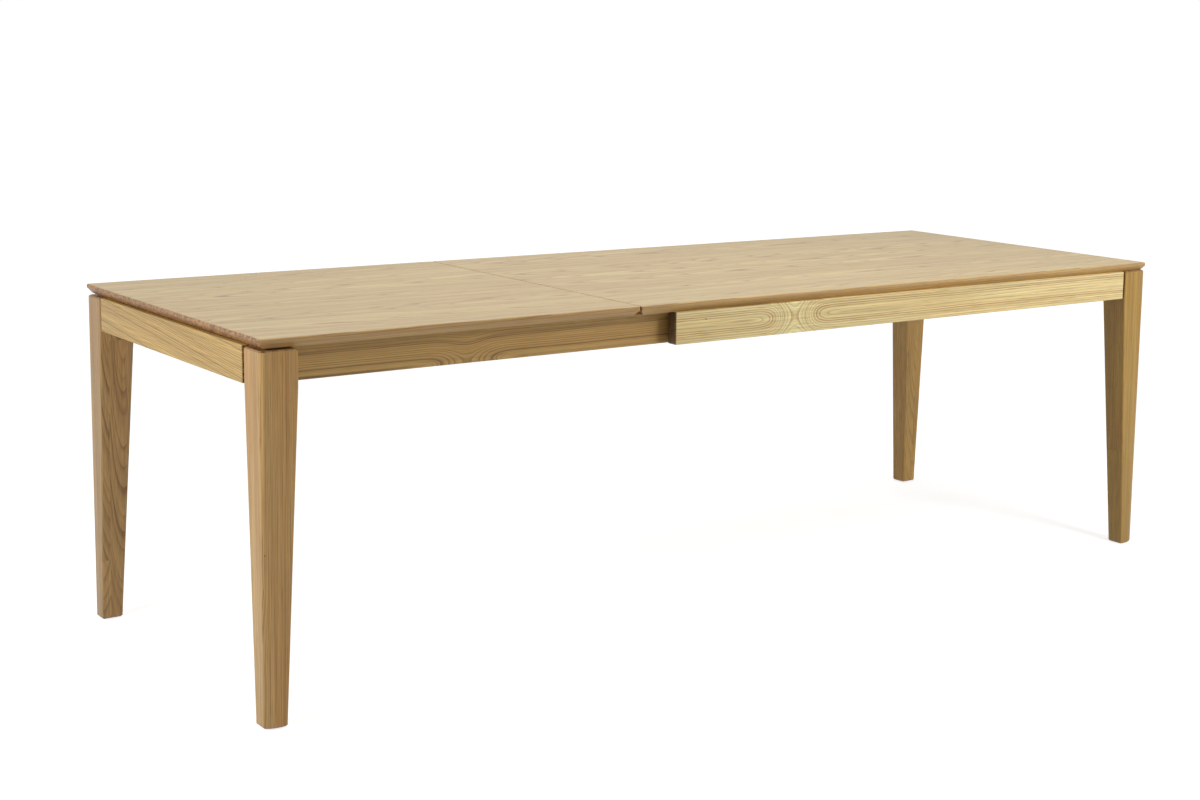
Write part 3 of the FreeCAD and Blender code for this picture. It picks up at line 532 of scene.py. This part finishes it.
aluminium = metal("anodised_aluminium_extruded", "CDCFD1", stretch=(6, 1400, 1400),
                  rough_low=0.32, rough_high=0.46, relief=0.00004)
zinc = metal("zinc_plated_steel", "BFC3C8", stretch=(420, 420, 420),
             rough_low=0.24, rough_high=0.42, relief=0.00003)
brass = metal("turned_brass", "D9B468", stretch=(60, 2600, 60),
              rough_low=0.22, rough_high=0.34, relief=0.00004)
for node in ("runner_front", "runner_back"):
    dress(node, aluminium)
for node in ("leaf_hinge_cups_front", "leaf_hinge_cups_back"):
    dress(node, brass)
for node in ("main_leg_bolts", "main_leg_nuts", "drawn_leg_bolts", "drawn_leg_nuts",
             "top_screws", "batten_screws", "runner_screws", "seam_plates",
             "seam_plate_screws", "slide_bar_screws", "leaf_hinge_links"):
    dress(node, zinc)
print("metals", aluminium.name, zinc.name, brass.name)

# %% [markdown]
# Nylon makes the glides, pads and stops: moulded, dark grey and slightly waxy, with a
# fine spark-eroded texture. Felt is pressed wool, a mat of fibres about 0.02 mm thick,
# far too fine to draw, so it gets soft tufts of 1 mm and a woolly sheen.

# %% Nylon and felt
GRIT = 2500.0            # grains of texture to a metre
TUFTS = 900.0            # tufts to a metre
FINISHES = ("oiled", "planed", "anodised", "zinc", "turned", "moulded", "pressed")


def moulded_nylon():
    """Dark grey nylon as it comes from its mould."""
    material, tree = blank_material("moulded_nylon")
    spot = add(tree, "TexCoord").outputs["Object"]
    grit = add(tree, "TexNoise", {"Vector": spot, "Scale": GRIT, "Detail": 2.0}).outputs[0]
    shade = add(tree, "MapRange", {0: grit, 3: 0.85, 4: 1.15}).outputs[0]
    tinted = add(tree, "VectorMath", {0: colour("2E2D2C")[:3], "Scale": shade},
                 operation="SCALE").outputs[0]
    bump = add(tree, "Bump", {"Strength": 0.2, "Distance": 0.00003, "Height": grit}).outputs[0]
    surface = add(tree, "BsdfPrincipled", {"Base Color": tinted, "Roughness": 0.46, "IOR": 1.53,
                                           "Normal": bump})
    add(tree, "OutputMaterial", {0: surface.outputs[0]})
    return material


def pressed_felt():
    """Dark brown wool felt."""
    material, tree = blank_material("pressed_felt")
    spot = add(tree, "TexCoord").outputs["Object"]
    tufts = add(tree, "TexNoise", {"Vector": spot, "Scale": TUFTS, "Detail": 4.0,
                                   "Distortion": 1.2}).outputs[0]
    wool = add(tree, "Mix", {0: tufts, 6: colour("241F1A"), 7: colour("3B342D")},
               data_type="RGBA").outputs[2]
    bump = add(tree, "Bump", {"Strength": 0.6, "Distance": 0.0004, "Height": tufts}).outputs[0]
    surface = add(tree, "BsdfPrincipled", {"Base Color": wool, "Roughness": 0.95, "IOR": 1.5,
                                           "Sheen Weight": 0.3, "Normal": bump})
    add(tree, "OutputMaterial", {0: surface.outputs[0]})
    return material


nylon, felt = moulded_nylon(), pressed_felt()
for node in ("runner_stops", "glide_pads", "main_foot_glides", "drawn_foot_glides"):
    dress(node, nylon)
for node in ("bearer_felts", "rail_felt_front", "rail_felt_back", "end_rail_felt"):
    dress(node, felt)
undressed = [n for n, o in frame["nodes"].items()
             if any(not m or m.name.split("_")[0] not in FINISHES for m in o.data.materials)]
print("nodes still undressed:", undressed)

# %% [markdown]
# The fixings come from a shop, not from the joiner: hanger bolts with washers and hexagon
# nuts, countersunk screws with a cross recess, turned glides and hinge barrels. The
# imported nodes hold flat-sided stand-ins of them. Each is made here in full, as a skin
# over rings of points, the way a lathe would cut it, and put where its stand-in is.
# Threads are drawn as closed rings, because their slope is too small to see.

# %% Turning tools
POINTS = 24
TURN = [math.radians(360 / POINTS * i) for i in range(POINTS)]
SHARP = math.radians(34)     # edges that turn more than this stay crisp


def separate_solids(node):
    """Lowest and highest corner of each separate solid in a loaded node, in metres."""
    shape = bmesh.new()
    shape.from_mesh(frame["nodes"][node].data)
    bmesh.ops.remove_doubles(shape, verts=shape.verts, dist=1e-6)
    left, found = set(shape.verts), []
    while left:
        edge = [left.pop()]
        group = list(edge)
        while edge:
            near = {e.other_vert(v) for v in edge for e in v.link_edges} & left
            left -= near
            edge = list(near)
            group += edge
        found.append([Vector([pick(v.co[i] for v in group) for i in range(3)])
                      for pick in (min, max)])
    shape.free()
    return sorted(found, key=lambda pair: tuple(round(c, 4) for c in pair[0]))


def circle(radius, height):
    """A ring of points round the upright axis."""
    return [(radius * math.cos(t), radius * math.sin(t), height) for t in TURN]


def thread(start, end, pitch, crest, root):
    """Rings of a thread, and a chamfer at its end."""
    turns = int((end - start) / pitch - 0.5)
    rings = []
    for i in range(turns):
        rings += [circle(crest, start + i * pitch), circle(root, start + (i + 0.5) * pitch)]
    return rings + [circle(crest, start + turns * pitch), circle(root, end)]


def skin(shape, rings, place, direction=None, closed=False):
    """Faces through rings of points in mm, standing at place, turned along direction."""
    stand = Matrix.Translation(place) @ Matrix.Scale(1 / MM, 4)
    if direction:
        stand = stand @ direction.to_track_quat("Z", "Y").to_matrix().to_4x4()
    loops = [[shape.verts.new(stand @ Vector(p)) for p in ring] for ring in rings]
    pairs = list(zip(loops, loops[1:])) + ([(loops[-1], loops[0])] if closed else [])
    for low, high in pairs:
        for i in range(len(low)):
            j = (i + 1) % len(low)
            shape.faces.new((low[i], low[j], high[j], high[i]))
    if not closed:
        shape.faces.new(loops[0][::-1])
        shape.faces.new(loops[-1])


def fitted(shape, node, material):
    """Finishes a detailed piece, which rides and stands for its loaded node."""
    bmesh.ops.recalc_face_normals(shape, faces=shape.faces)
    mesh = bpy.data.meshes.new("turned_" + node)
    shape.to_mesh(mesh)
    shape.free()
    mesh.polygons.foreach_set("use_smooth", [True] * len(mesh.polygons))
    mesh.set_sharp_from_angle(angle=SHARP)
    mesh.materials.append(material)
    piece = bpy.data.objects.new("turned_" + node, mesh)
    bpy.context.collection.objects.link(piece)
    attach(piece, body_of(frame["nodes"][node])[0])
    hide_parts(node)


print("turning with", POINTS, "points a ring")

# %% [markdown]
# A countersunk screw of 4.5 mm: a flat head 8.8 mm across with a cross recess, a cone, a
# plain neck and a coarse thread with a point. The recess is a ring of the same number of
# points as the head, so that the head's face is made of plain quads.

# %% Screws
HEAD, RIM, NECK, CONE = 4.4, 0.25, 2.2, 2.3     # radius, edge, radius, depth in mm
ARM_TOP, ARM_END, RECESS = (2.3, 0.6), (1.4, 0.35), 1.7   # arms' length and half width; depth
PLAIN, PITCH, ROOT = 1.5, 2.0, 1.45             # plain part of the neck, and the thread
POINT, TIP = 4.0, 0.1                           # length of the point, radius of its end


def cross(arm, half, height):
    """Outline of a cross recess with arms of that length and half width."""
    ring = []
    for t in TURN:
        turn = (t + math.pi / 4) % (math.pi / 2) - math.pi / 4
        tip = math.atan2(half, arm)
        reach = arm / math.cos(turn) if abs(turn) <= tip else half / math.sin(abs(turn))
        ring.append((reach * math.cos(t), reach * math.sin(t), height))
    return ring


def screws(node, direction):
    """Puts a screw in place of each solid of a node; direction says which way it is driven."""
    shape, pairs = bmesh.new(), separate_solids(node)
    for low, high in pairs:
        way = direction(low)
        middle, half = (low + high) / 2, (high - low) / 2
        length = abs(way.dot(high - low)) * MM
        head = [cross(*ARM_END, RECESS), cross(*ARM_TOP, 0.0), circle(HEAD - RIM, 0.0),
                circle(HEAD, RIM), circle(NECK, CONE)]
        body = thread(CONE + PLAIN, length - POINT, PITCH, NECK, ROOT)
        skin(shape, head + body + [circle(TIP, length)], middle - way * abs(way.dot(half)), way)
    fitted(shape, node, zinc)
    return len(pairs)


def upwards(low):
    """The way of a screw that is driven from beneath."""
    return Vector((0, 0, 1))


def outwards(low):
    """The way of a screw that is driven towards the table's long side."""
    return Vector((0, math.copysign(1, low[1]), 0))


for node in ("top_screws", "batten_screws", "runner_screws", "seam_plate_screws"):
    print(node, screws(node, upwards))
print("slide_bar_screws", screws("slide_bar_screws", outwards))

# %% [markdown]
# A hanger bolt has thread at both ends. One end is driven into the leg across the
# corner; the other passes through the corner block and takes a washer and a hexagon nut,
# 13 mm across its flats, with the corners of the hexagon turned off.

# %% Hanger bolts and nuts
BOLT, BOLT_ROOT, BOLT_PITCH = 4.0, 3.4, 1.25    # the thread for the nut
WOOD_EDGE, WOOD_ROOT, WOOD_PITCH = 0.6, 2.9, 2.4     # the thread in the leg
WOOD_END, PLAIN_START, BOLT_START = 0.42, 0.46, 0.62   # as parts of the length
NUT_FLAT, NUT_HIGH, NUT_FACE, NUT_CONE = 6.5, 6.5, 6.1, math.radians(30)
NUT_HOLE, NUT_SINK = BOLT + 0.05, 0.6
WASHER, WASHER_HIGH, WASHER_HOLE = 10.0, 1.6, BOLT + 0.2
WASHER_BEVEL = (0.4, 0.3)                       # in from its edge, down from its face
PAST_NUT = 5.0


def hexagon(height, up):
    """Six-sided ring whose corners are turned down, or up, by the nut's cone."""
    ring = []
    for t in TURN:
        reach = NUT_FLAT / math.cos((t + math.pi / 6) % (math.pi / 3) - math.pi / 6)
        ring.append((reach * math.cos(t), reach * math.sin(t),
                     height + up * (reach - NUT_FACE) * math.tan(NUT_CONE)))
    return ring


for end in ("main", "drawn"):
    bolts, nuts = bmesh.new(), bmesh.new()
    for low, high in separate_solids(end + "_leg_bolts"):
        middle, spans = (low + high) / 2, (high - low) * MM
        way = Vector((-math.copysign(1, middle[0]), -math.copysign(1, middle[1]), 0))
        way = way.normalized()
        long = (spans[0] - 2 * BOLT * math.sqrt(0.5)) * math.sqrt(2)
        rings = [circle(BOLT_ROOT, 0.0)]
        rings += thread(WOOD_EDGE, WOOD_END * long, WOOD_PITCH, BOLT, WOOD_ROOT)
        rings += [circle(BOLT, PLAIN_START * long)]
        rings += thread(BOLT_START * long, long, BOLT_PITCH, BOLT, BOLT_ROOT)
        start = middle - way * long / 2 / MM
        skin(bolts, rings, start, way)
        under = start + way * (long - PAST_NUT - NUT_HIGH - WASHER_HIGH) / MM
        top = WASHER_HIGH + NUT_HIGH
        skin(nuts, [circle(WASHER_HOLE, 0.0), circle(WASHER, 0.0),
                    circle(WASHER, WASHER_HIGH - WASHER_BEVEL[1]),
                    circle(WASHER - WASHER_BEVEL[0], WASHER_HIGH),
                    circle(WASHER_HOLE, WASHER_HIGH)], under, way, closed=True)
        skin(nuts, [circle(NUT_HOLE, WASHER_HIGH), circle(NUT_FACE, WASHER_HIGH),
                    hexagon(WASHER_HIGH, 1), hexagon(top, -1), circle(NUT_FACE, top),
                    circle(BOLT + NUT_SINK, top), circle(NUT_HOLE, top - NUT_SINK)],
             under, way, closed=True)
    fitted(bolts, end + "_leg_bolts", zinc)
    fitted(nuts, end + "_leg_nuts", zinc)
    print(end, "bolts", round(long, 1), "mm long")

# %% [markdown]
# The glides are moulded discs with a rounded edge and a pin. The hinge barrels are turned
# brass, ribbed round the outside so that they grip their bores, and slotted for the links;
# between them run stacks of thin stamped links with round ends.

# %% Glides and hinges
GLIDE_PROFILE = ((8.8, 0.0), (10.1, 0.3), (11.0, 1.2), (11.0, 2.7), (10.7, 3.0), (1.6, 3.0))
PIN, PIN_POINT, PIN_TIP = 1.6, 3.0, 0.3
BARREL, BARREL_LONG, SLOT_WIDE, SLOT_DEEP = 7.0, 18.0, 6.0, 10.0
MOUTH_BEVEL, HEEL_BEVEL, SLOT_OVER = 0.5, 0.6, 1.0
RIBS, RIB_APART, RIB_DEEP = 5, 1.2, 0.25
LINKS, LINK_GAP = 5, 0.15


def block_rings(low, high):
    """A plain block as two rings, for cutting with."""
    corners = [(low[0], low[1]), (high[0], low[1]), (high[0], high[1]), (low[0], high[1])]
    return [[(x, y, z) for x, y in corners] for z in (low[2], high[2])]


def cut(shape, cutter):
    """The first bmesh less the second, as a new one."""
    made = []
    for part in (shape, cutter):
        bmesh.ops.recalc_face_normals(part, faces=part.faces)
        mesh = bpy.data.meshes.new("cutting")
        part.to_mesh(mesh)
        part.free()
        made.append(bpy.data.objects.new("cutting", mesh))
        bpy.context.collection.objects.link(made[-1])
    slot = made[0].modifiers.new("slot", "BOOLEAN")
    slot.object, slot.operation, slot.solver = made[1], "DIFFERENCE", "EXACT"
    bpy.context.view_layer.update()
    result = bmesh.new()
    result.from_mesh(made[0].evaluated_get(bpy.context.evaluated_depsgraph_get()).to_mesh())
    for piece in made:
        bpy.data.objects.remove(piece)
    return result


for end in ("main", "drawn"):
    shape = bmesh.new()
    for low, high in separate_solids(end + "_foot_glides"):
        foot = Vector(((low[0] + high[0]) / 2, (low[1] + high[1]) / 2, low[2]))
        pin = (high[2] - low[2]) * MM
        disc = [circle(radius, height) for radius, height in GLIDE_PROFILE]
        skin(shape, disc + [circle(PIN, pin - PIN_POINT), circle(PIN_TIP, pin)], foot,
             Vector((0, 0, 1)))
    fitted(shape, end + "_foot_glides", nylon)


def barrel_rings():
    """Rings of a hinge barrel, from its mouth to its ribbed end."""
    rings = [circle(BARREL - MOUTH_BEVEL, 0.0), circle(BARREL, MOUTH_BEVEL),
             circle(BARREL, SLOT_DEEP)]
    for i in range(RIBS):
        rings += [circle(BARREL - RIB_DEEP, SLOT_DEEP + RIB_APART / 2 + RIB_APART * i),
                  circle(BARREL, SLOT_DEEP + RIB_APART + RIB_APART * i)]
    return rings + [circle(BARREL - HEEL_BEVEL, BARREL_LONG)]


for name in ("front", "back"):
    shape, cutter = bmesh.new(), bmesh.new()
    for low, high in separate_solids("leaf_hinge_cups_" + name):
        way = math.copysign(1, low[1] + high[1])
        mouth = Vector(((low[0] + high[0]) / 2, low[1] if way > 0 else high[1],
                        (low[2] + high[2]) / 2))
        skin(shape, barrel_rings(), mouth, Vector((0, way, 0)))
        ends = sorted((-way * SLOT_OVER, way * SLOT_DEEP))
        skin(cutter, block_rings((-SLOT_WIDE / 2, ends[0], -BARREL - SLOT_OVER),
                                 (SLOT_WIDE / 2, ends[1], BARREL + SLOT_OVER)), mouth)
    fitted(cut(shape, cutter), "leaf_hinge_cups_" + name, brass)

shape = bmesh.new()
for low, high in separate_solids("leaf_hinge_links"):
    middle, half = (low + high) / 2, (high - low) / 2 * MM
    thick = (2 * half[0] - (LINKS - 1) * LINK_GAP) / LINKS
    round_ends = [math.radians(360 / POINTS * (i + 0.5)) for i in range(POINTS)]
    outline = [(half[2] * math.cos(t) + math.copysign(half[1] - half[2], math.cos(t)),
                half[2] * math.sin(t)) for t in round_ends]
    for i in range(LINKS):
        x = -half[0] + i * (thick + LINK_GAP)
        skin(shape, [[(at, y, z) for y, z in outline] for at in (x, x + thick)], middle)
fitted(shape, "leaf_hinge_links", zinc)
print("hinges of", LINKS, "links each", round(thick, 2), "mm thick")

# %% [markdown]
# The studio is a white floor with nothing behind it. The floor shows white to the camera
# but still takes part of its brightness from the lamps, so the table's shadow stays.
# Further out, where the lamps don't reach, all of its white is its own. The sky lights
# everything evenly and low; glossy rays see it as white, like the camera.

# %% Floor and sky
FLOOR_WIDE = 80
NEAR, WIDE = 2.2, 5.0      # the floor's own white grows between these distances,
OWN_WHITE = 0.78           # from this share of the whole
SKY = 0.12


def seen_rays(tree):
    """1 for rays that come from the camera, a reflection or glass, else 0."""
    rays = add(tree, "LightPath").outputs
    seen = add(tree, "Math", {0: rays["Is Camera Ray"], 1: rays["Is Glossy Ray"]},
               operation="MAXIMUM").outputs[0]
    return add(tree, "Math", {0: seen, 1: rays["Is Transmission Ray"]},
               operation="MAXIMUM").outputs[0]


def pale_floor():
    """White to the camera, and still darker where the table keeps the lamps off."""
    material, tree = blank_material("pale_floor")
    spot = add(tree, "NewGeometry").outputs["Position"]
    away = add(tree, "VectorMath", {0: spot}, operation="LENGTH").outputs["Value"]
    own = add(tree, "MapRange", {0: away, 1: NEAR, 2: WIDE, 3: OWN_WHITE, 4: 1.0},
              interpolation_type="SMOOTHSTEP").outputs[0]
    glow = add(tree, "Math", {0: seen_rays(tree), 1: own}, operation="MULTIPLY").outputs[0]
    white = add(tree, "Emission", {"Color": (1, 1, 1, 1), "Strength": glow}).outputs[0]
    matt = add(tree, "BsdfDiffuse", {"Color": colour("D0CFCD")}).outputs[0]
    both = add(tree, "AddShader", {0: white, 1: matt}).outputs[0]
    add(tree, "OutputMaterial", {0: both})
    return material


bpy.ops.mesh.primitive_plane_add(size=FLOOR_WIDE)
floor = bpy.context.object
floor.name = "floor"
floor.data.materials.append(pale_floor())

world = bpy.data.worlds.new("studio")
bpy.context.scene.world = world
world.use_nodes = True
tree = world.node_tree
tree.nodes.clear()
level = add(tree, "MapRange", {0: seen_rays(tree), 3: SKY, 4: 1.0}).outputs[0]
sky = add(tree, "Background", {"Color": (1, 1, 1, 1), "Strength": level}).outputs[0]
add(tree, "OutputWorld", {0: sky})
print("sky level", SKY)

# %% [markdown]
# Four soft lamps: one beyond the left end lights the end rail and the leg faces beside
# it, a high one in front of the fixed end lights the long rail and casts the tops' soft
# shadow on the rails, a small low one reaches under the table to the far legs, and a wide
# one overhead evens out the tops. All but the last stand near, so their light falls off
# along the table. Each is as strong as its faces need to show their own colours. The
# three near ones don't mirror in the oil, or the tops would glare from the far side.

# %% Lamps


def soft_lamp(name, place, aim, wide, high, watts, mirrored=True):
    """An area lamp at place, turned to aim, that the camera doesn't see."""
    lamp = bpy.data.lights.new(name, "AREA")
    lamp.shape = "RECTANGLE"
    lamp.size, lamp.size_y = wide, high
    lamp.energy = watts
    made = bpy.data.objects.new(name, lamp)
    made.location = place
    made.rotation_euler = (Vector(aim) - Vector(place)).to_track_quat("-Z", "Y").to_euler()
    made.visible_camera = False
    made.visible_glossy = mirrored
    bpy.context.collection.objects.link(made)
    print("lamp", name, watts, "W from", place)


soft_lamp("left_lamp", (-3.3, -0.5, 1.55), (-1.2, 0.0, 0.5), wide=0.9, high=0.9, watts=38,
          mirrored=False)
soft_lamp("front_lamp", (1.1, -2.4, 2.25), (0.5, -0.45, 0.6), wide=0.8, high=1.2, watts=45,
          mirrored=False)
soft_lamp("low_lamp", (2.7, -2.3, 0.5), (1.2, 0.4, 0.4), wide=0.7, high=0.6, watts=14,
          mirrored=False)
soft_lamp("top_lamp", (0.1, 0.3, 3.4), (0.0, 0.0, 0.7), wide=2.6, high=2.6, watts=55)

# %% [markdown]
# The camera stands in front of the drawn end, 1.3 m above the floor, with a fairly long
# lens. Its frame is shifted a little to the left and down, as a view camera's is.

# %% Camera
LENS, FILM = 58.76, 36.0                     # mm
SHIFT = (-0.1404, -0.0841)                   # as parts of the picture's width
EYE = (-2.7126, -3.7928, 1.3352)
PAN, TILT, ROLL = -38.709, 7.890, 1.203      # degrees: round, down and over
bpy.context.scene.view_settings.view_transform = "Standard"
eye = bpy.data.cameras.new("camera")
eye.sensor_width = FILM
eye.lens = LENS
eye.shift_x, eye.shift_y = SHIFT
camera = bpy.data.objects.new("camera", eye)
bpy.context.collection.objects.link(camera)
bpy.context.scene.camera = camera
turn = Matrix.Rotation(math.radians(PAN), 4, "Z")
tilt = Matrix.Rotation(math.radians(90 - TILT), 4, "X")
roll = Matrix.Rotation(math.radians(ROLL), 4, "Z")
camera.matrix_world = Matrix.Translation(EYE) @ turn @ tilt @ roll
print("camera at", [round(c, 3) for c in camera.matrix_world.translation])
